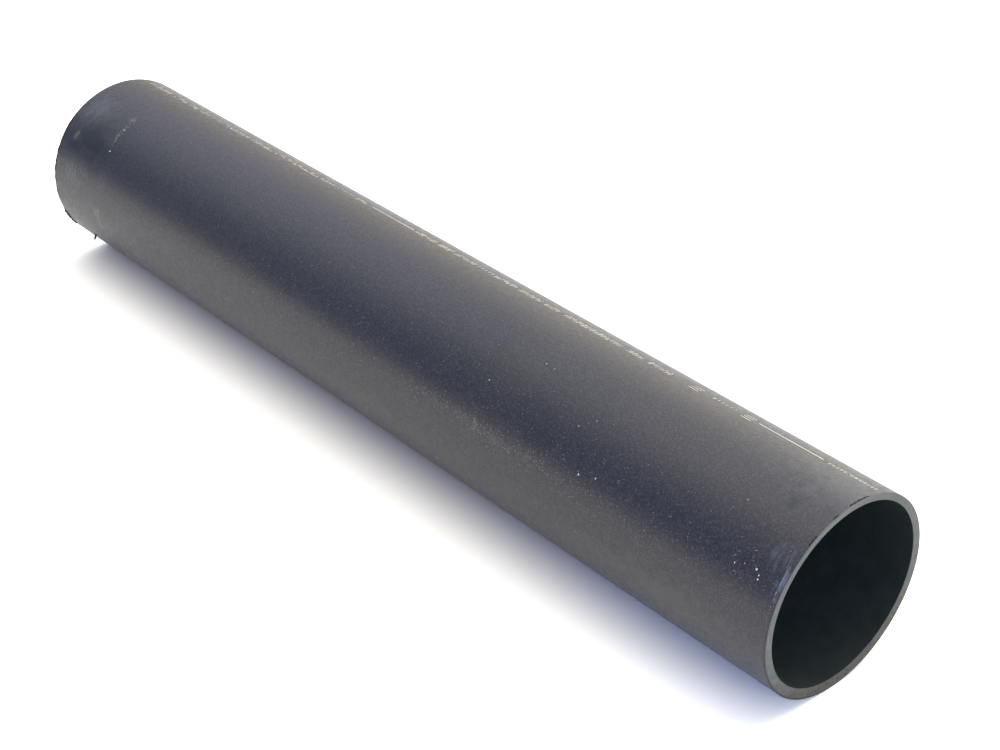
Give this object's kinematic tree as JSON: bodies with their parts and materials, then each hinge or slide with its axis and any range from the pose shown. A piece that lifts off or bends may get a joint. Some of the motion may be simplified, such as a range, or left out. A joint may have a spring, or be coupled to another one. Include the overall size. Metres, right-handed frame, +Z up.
{
  "type": "drain pipe",
  "caption": "Short length of black plastic drain pipe lying on its side: a plain round tube with saw-cut ends, open right through.",
  "frame": {"origin": "middle of the pipe's length, on the surface it lies on, straight below its axis", "axes": "+X along the pipe towards the end that the picture shows open, +Y level across it, +Z up"},
  "size_m": [0.62, 0.11, 0.1098],
  "materials": {
    "polyethylene": "satin black extruded polyethylene, greyer and matt on the saw cuts"
  },
  "bodies": {
    "root": {"pipe": "polyethylene"}
  },
  "joints": []
}
